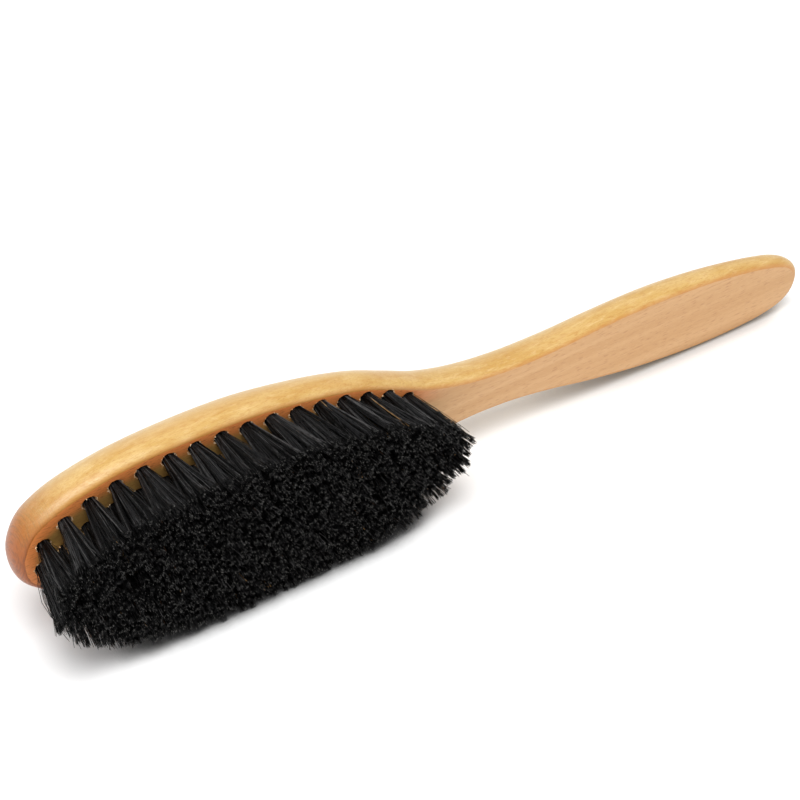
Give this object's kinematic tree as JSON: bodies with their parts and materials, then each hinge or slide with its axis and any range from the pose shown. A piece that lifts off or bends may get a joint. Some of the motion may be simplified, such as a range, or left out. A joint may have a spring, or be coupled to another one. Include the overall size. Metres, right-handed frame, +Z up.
{
  "type": "clothes brush",
  "caption": "Wooden clothes brush with an oval head, a narrow neck and a paddle handle, and rows of stiff black bristle tufts, lying on its side.",
  "frame": {"origin": "on the surface that the brush lies on, under the middle of its bounding box", "axes": "+X along the brush from the toe of the head to the end of the handle, +Y from the bristles to the rounded back, +Z up from the surface; the brush lies on its side, resting on the lower side of the head, the lower bristle tips and the lower edge of the handle"},
  "size_m": [0.2742, 0.0366, 0.0505],
  "materials": {
    "beech_wood": "pale honey beech with short dark flecks; satin lacquer on the rounded side and back, matt on the flat face",
    "bristle": "stiff black natural bristle with a soft sheen, a few brown and blond hairs, cut level at the tips"
  },
  "bodies": {
    "root": {"brush_body": "beech_wood", "tuft_heel_01": "bristle", "tuft_outer_01": "bristle", "tuft_outer_02": "bristle", "tuft_outer_03": "bristle", "tuft_outer_04": "bristle", "tuft_outer_05": "bristle", "tuft_outer_06": "bristle", "tuft_outer_07": "bristle", "tuft_outer_08": "bristle", "tuft_outer_09": "bristle", "tuft_outer_10": "bristle", "tuft_outer_11": "bristle", "tuft_outer_12": "bristle", "tuft_outer_13": "bristle", "tuft_outer_14": "bristle", "tuft_outer_15": "bristle", "tuft_outer_16": "bristle", "tuft_outer_17": "bristle", "tuft_outer_18": "bristle", "tuft_outer_19": "bristle", "tuft_outer_20": "bristle", "tuft_outer_21": "bristle", "tuft_outer_22": "bristle", "tuft_outer_23": "bristle", "tuft_outer_24": "bristle", "tuft_outer_25": "bristle", "tuft_outer_26": "bristle", "tuft_outer_27": "bristle", "tuft_outer_28": "bristle", "tuft_outer_29": "bristle", "tuft_outer_30": "bristle", "tuft_outer_31": "bristle", "tuft_outer_32": "bristle", "tuft_outer_33": "bristle", "tuft_outer_34": "bristle", "tufts_inner_01": "bristle", "tufts_inner_02": "bristle", "tufts_inner_03": "bristle", "tufts_inner_04": "bristle", "tufts_inner_05": "bristle", "tufts_inner_06": "bristle", "tufts_inner_07": "bristle", "tufts_inner_08": "bristle", "tufts_middle_01": "bristle", "tufts_middle_02": "bristle", "tufts_middle_03": "bristle", "tufts_middle_04": "bristle", "tufts_middle_05": "bristle", "tufts_middle_06": "bristle", "tufts_middle_07": "bristle", "tufts_middle_08": "bristle", "tufts_middle_09": "bristle", "tufts_middle_10": "bristle", "tufts_middle_11": "bristle", "tufts_middle_12": "bristle", "tufts_middle_13": "bristle", "tufts_middle_14": "bristle"}
  },
  "joints": []
}
